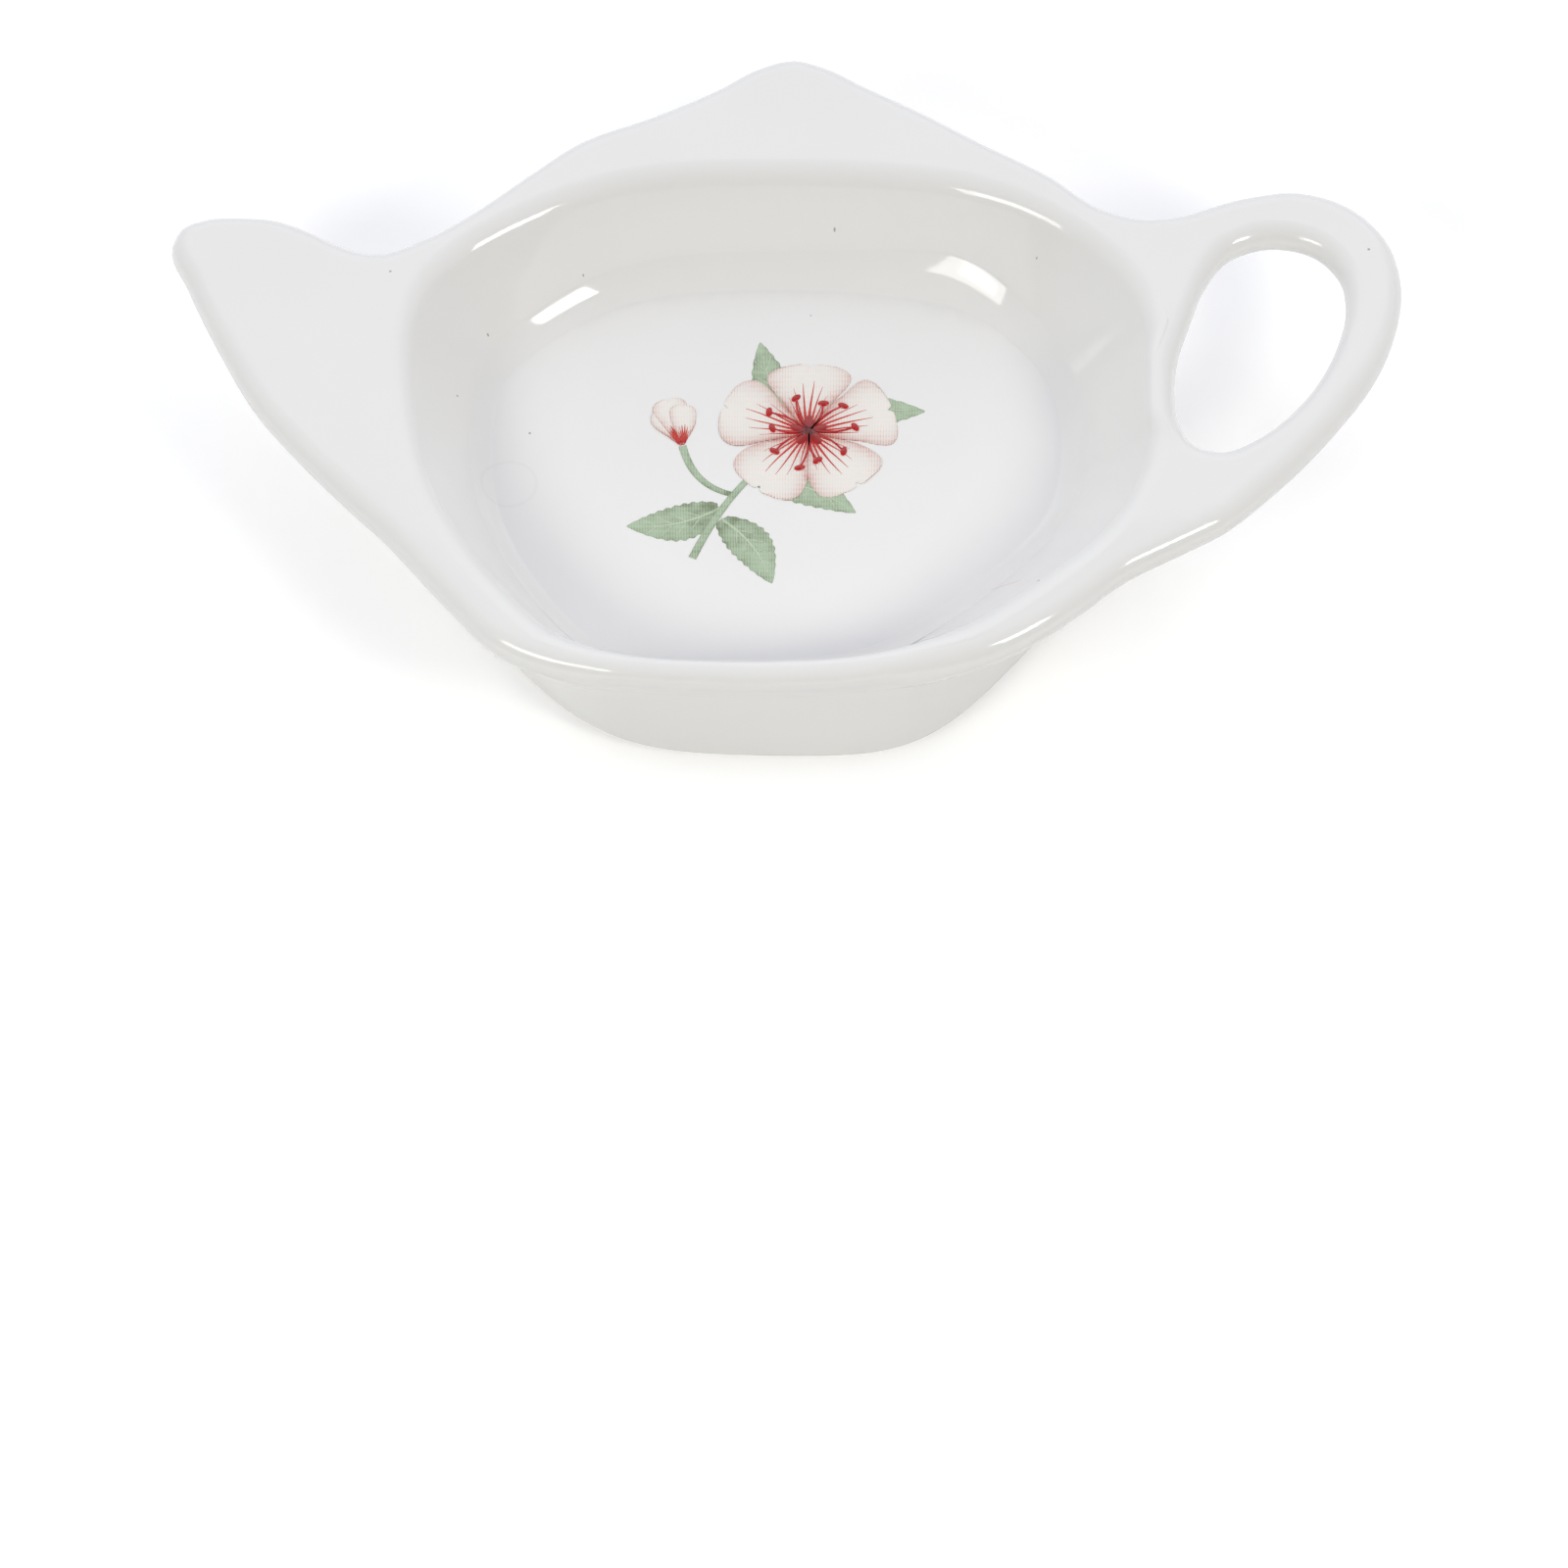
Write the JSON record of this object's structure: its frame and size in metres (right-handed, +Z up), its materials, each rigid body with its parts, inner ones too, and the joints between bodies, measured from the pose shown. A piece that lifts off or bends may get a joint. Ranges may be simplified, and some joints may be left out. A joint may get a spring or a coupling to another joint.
{
  "type": "tea bag rest",
  "caption": "Shallow glazed porcelain dish in the outline of a teapot, with spout, pointed lid and looped handle round a sunk basin, for setting down a used tea bag.",
  "frame": {"origin": "on the table under the middle of the outline's bounding box", "axes": "+X towards the handle, -X towards the spout, +Y towards the lid peak, +Z up"},
  "size_m": [0.1222, 0.0764, 0.016],
  "materials": {
    "glaze": "clear gloss glaze on white porcelain",
    "biscuit": "unglazed, wiped matt",
    "ink_leaf": "transfer ink under gloss",
    "ink_vein": "transfer ink under gloss",
    "ink_petal": "transfer ink under gloss",
    "ink_blush": "transfer ink under gloss",
    "ink_throat": "transfer ink under gloss",
    "ink_stamen": "transfer ink under gloss"
  },
  "bodies": {
    "root": {"basin": "glaze", "rim": "glaze", "spout": "glaze", "lid_peak": "glaze", "handle": "glaze", "foot_ring": "biscuit", "print_leaves": "ink_leaf", "print_leaf_veins": "ink_vein", "print_petals": "ink_petal", "print_blush": "ink_blush", "print_throat": "ink_throat", "print_stamens": "ink_stamen"}
  },
  "joints": []
}
